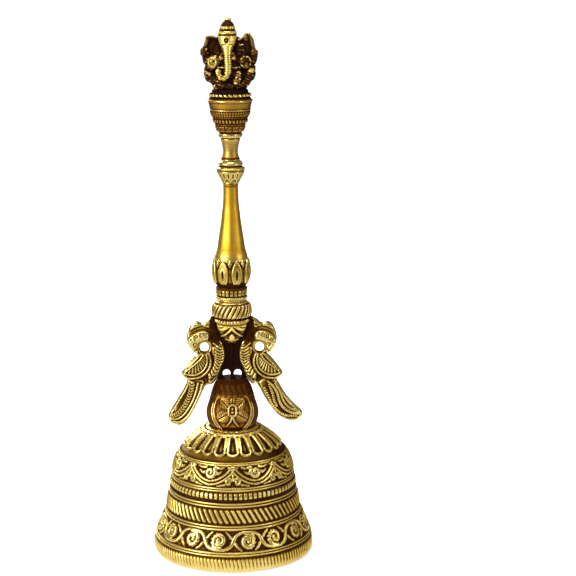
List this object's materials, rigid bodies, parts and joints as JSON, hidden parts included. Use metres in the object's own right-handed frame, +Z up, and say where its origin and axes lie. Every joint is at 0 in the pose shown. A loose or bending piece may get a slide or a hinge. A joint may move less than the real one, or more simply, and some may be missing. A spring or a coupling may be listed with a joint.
{
  "type": "hand bell",
  "caption": "Ornate brass hand bell: flared relief cup, vase boss with a pair of birds, turned handle with a seated figure finial, and a hanging clapper.",
  "frame": {"origin": "centre of the bell's mouth, on the plane of its rim", "axes": "+Z up along the handle; -Y is the front, the way the seated figure faces; the two birds lie along X"},
  "size_m": [0.0662, 0.0662, 0.2193],
  "materials": {
    "antique_brass": "cast, relief highlights polished, recesses darkened",
    "polished_brass": "polished, lightly aged",
    "dark_brass": "cast, heavily darkened with rubbed high points",
    "plain_brass": "drawn wire and plain casting, satin",
    "fastener_steel": "plain turned steel, dull"
  },
  "bodies": {
    "bell": {"bell_cup": "antique_brass", "crown_rosette": "antique_brass", "vase_boss": "antique_brass", "yoke_column": "dark_brass", "bird_left": "antique_brass", "bird_right": "antique_brass", "rope_collar": "antique_brass", "fret_collar": "antique_brass", "lotus_collar": "polished_brass", "handle_shaft": "polished_brass", "knop": "polished_brass", "finial_cone": "antique_brass", "beaded_seat": "dark_brass", "seated_figure": "dark_brass", "tie_rod": "fastener_steel", "eye_bolt": "plain_brass", "crown_washer": "fastener_steel", "crown_nut": "fastener_steel"},
    "link": {"clapper_link": "plain_brass"},
    "clapper": {"clapper_rod": "plain_brass", "clapper_ball": "plain_brass"}
  },
  "joints": [
    {"name": "clapper_twist", "type": "hinge", "parent": "bell", "child": "link", "pos_m": [0, 0, 0.0358], "axis": [0, 0, 1], "range_deg": [-45, 45]},
    {"name": "clapper_swing", "type": "hinge", "parent": "link", "child": "clapper", "pos_m": [0, 0, 0.0311], "axis": [0, 1, 0], "range_deg": [-60, 60]}
  ]
}
